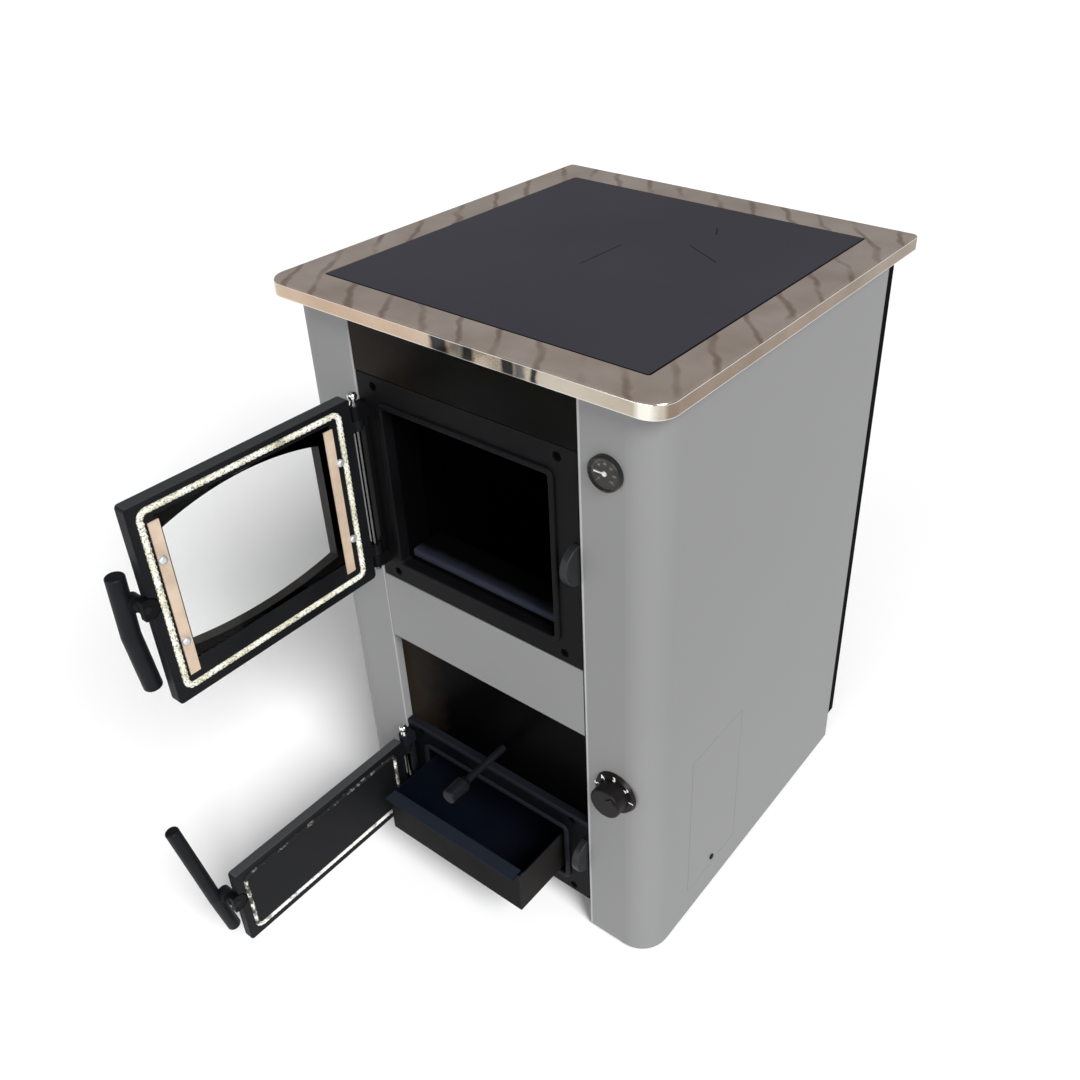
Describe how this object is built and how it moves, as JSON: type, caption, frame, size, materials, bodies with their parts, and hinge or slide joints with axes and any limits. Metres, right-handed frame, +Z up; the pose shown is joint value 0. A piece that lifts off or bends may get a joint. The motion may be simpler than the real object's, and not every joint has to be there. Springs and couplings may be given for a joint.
{
  "type": "central heating cooker",
  "caption": "Solid-fuel central heating cooker with hob plate, glazed fire door, ash door and drawer, riddling grate, water jacket, draught thermostat and rear flue spigot",
  "frame": {"origin": "On the floor, on the underside plane of the plinth ring, below the middle of the worktop trim", "axes": "X to the right as seen from the front, Y from the front to the back, Z up"},
  "size_m": [0.56, 0.9332, 0.85],
  "materials": {
    "grey_paint": "satin grey paint",
    "black_enamel": "glossy black enamel",
    "stainless": "polished stainless steel",
    "hob_iron": "dark ground cast plate",
    "cast_black": "satin blue-black heat paint",
    "boiler_steel": "mild steel, dark",
    "rope": "braided glass rope",
    "pane": "clear heat-proof glass",
    "zinc": "bright zinc plate",
    "pin_steel": "bright turned steel",
    "bakelite": "black satin moulding",
    "knob_black": "black moulding with pale numbers",
    "tray": "slate blue paint",
    "wool": "mineral wool slab",
    "gauge_black": "black",
    "needle_white": "white paint",
    "dark_steel": "dark slate steel",
    "galvanised": "galvanised steel"
  },
  "bodies": {
    "cooker": {"base_frame": "boiler_steel", "plinth_ring": "boiler_steel", "boiler_floor_plate": "boiler_steel", "boiler_outer_shell": "boiler_steel", "boiler_inner_shell": "boiler_steel", "boiler_front_plate": "boiler_steel", "boiler_top_ring": "boiler_steel", "front_mounting_plate": "boiler_steel", "fire_throat": "cast_black", "ash_throat": "cast_black", "flue_collar": "cast_black", "water_sockets": "galvanised", "grate_bearers": "boiler_steel", "fixed_grate": "cast_black", "fuel_guard": "cast_black", "drawer_runners": "boiler_steel", "air_flap_lugs": "galvanised", "fire_door_frame": "cast_black", "ash_door_frame": "cast_black", "frame_screws": "cast_black", "fire_door_keeper": "cast_black", "ash_door_keeper": "cast_black", "fire_hinge_pin": "pin_steel", "ash_hinge_pin": "pin_steel", "upper_front_panel": "black_enamel", "middle_front_panel": "grey_paint", "lower_front_panel": "black_enamel", "left_side_panel": "grey_paint", "right_side_panel": "grey_paint", "back_panel": "black_enamel", "panel_screws": "zinc", "side_access_cover": "grey_paint", "left_insulation": "wool", "right_insulation": "wool", "worktop_trim": "stainless", "hob_plate": "hob_iron", "thermometer_case": "gauge_black", "thermometer_dial": "gauge_black", "thermometer_glass": "pane", "thermostat_body": "galvanised"},
    "fire_door": {"fire_door": "cast_black", "fire_door_glass": "pane", "glass_clamps": "stainless", "clamp_screws": "zinc", "fire_door_gasket": "rope"},
    "fire_handle": {"fire_door_handle": "bakelite", "fire_latch_cam": "cast_black"},
    "ash_door": {"ash_door": "cast_black", "ash_door_gasket": "rope"},
    "ash_handle": {"ash_door_handle": "bakelite", "ash_latch_cam": "cast_black"},
    "ash_drawer": {"ash_drawer": "tray"},
    "shaker": {"shaker_rod": "dark_steel", "shaker_knob": "bakelite", "moving_grate": "cast_black"},
    "thermostat_knob": {"thermostat_knob": "knob_black"},
    "thermometer_needle": {"thermometer_needle": "needle_white"},
    "air_flap": {"air_flap": "galvanised"},
    "flap_pull_link": {"flap_pull_link": "galvanised"}
  },
  "joints": [
    {"name": "fire_door_hinge", "type": "hinge", "parent": "cooker", "child": "fire_door", "pos_m": [-0.1585, -0.285, 0.6055], "axis": [0, 0, 1], "range_deg": [-45, 90]},
    {"name": "fire_handle_turn", "type": "hinge", "parent": "fire_door", "child": "fire_handle", "pos_m": [-0.1835, -0.5905, 0.612], "axis": [-1, 0, 0], "range_deg": [-5, 55]},
    {"name": "ash_door_hinge", "type": "hinge", "parent": "cooker", "child": "ash_door", "pos_m": [-0.1585, -0.285, 0.122], "axis": [0, 0, 1], "range_deg": [-45, 90]},
    {"name": "ash_handle_turn", "type": "hinge", "parent": "ash_door", "child": "ash_handle", "pos_m": [-0.1835, -0.5905, 0.138], "axis": [-1, 0, 0], "range_deg": [-5, 55]},
    {"name": "ash_drawer_slide", "type": "slide", "parent": "cooker", "child": "ash_drawer", "axis": [0, 1, 0], "range_m": [-0.0543, 0.108]},
    {"name": "shaker_slide", "type": "slide", "parent": "cooker", "child": "shaker", "axis": [0, 1, 0], "range_m": [0, 0.045]},
    {"name": "thermostat_turn", "type": "hinge", "parent": "cooker", "child": "thermostat_knob", "pos_m": [0.212, -0.285, 0.295], "axis": [0, 1, 0], "range_deg": [-105, 105]},
    {"name": "thermometer_turn", "type": "hinge", "parent": "cooker", "child": "thermometer_needle", "pos_m": [0.2033, -0.277, 0.7485], "axis": [0, 1, 0], "range_deg": [-45, 225]},
    {"name": "air_flap_turn", "type": "hinge", "parent": "cooker", "child": "air_flap", "pos_m": [0.09, -0.194, 0.05], "axis": [1, 0, 0], "range_deg": [-20, 20]},
    {"name": "flap_link_slide", "type": "slide", "parent": "cooker", "child": "flap_pull_link", "axis": [0, 0, -1], "range_m": [-0.0195, 0.0195]}
  ],
  "couplings": [
    {"joint": "ash_drawer_slide", "follows": "ash_door_hinge", "m_per_rad": 0.068437},
    {"joint": "air_flap_turn", "follows": "thermostat_turn", "ratio": 0.18},
    {"joint": "flap_link_slide", "follows": "thermostat_turn", "m_per_rad": 0.01}
  ]
}
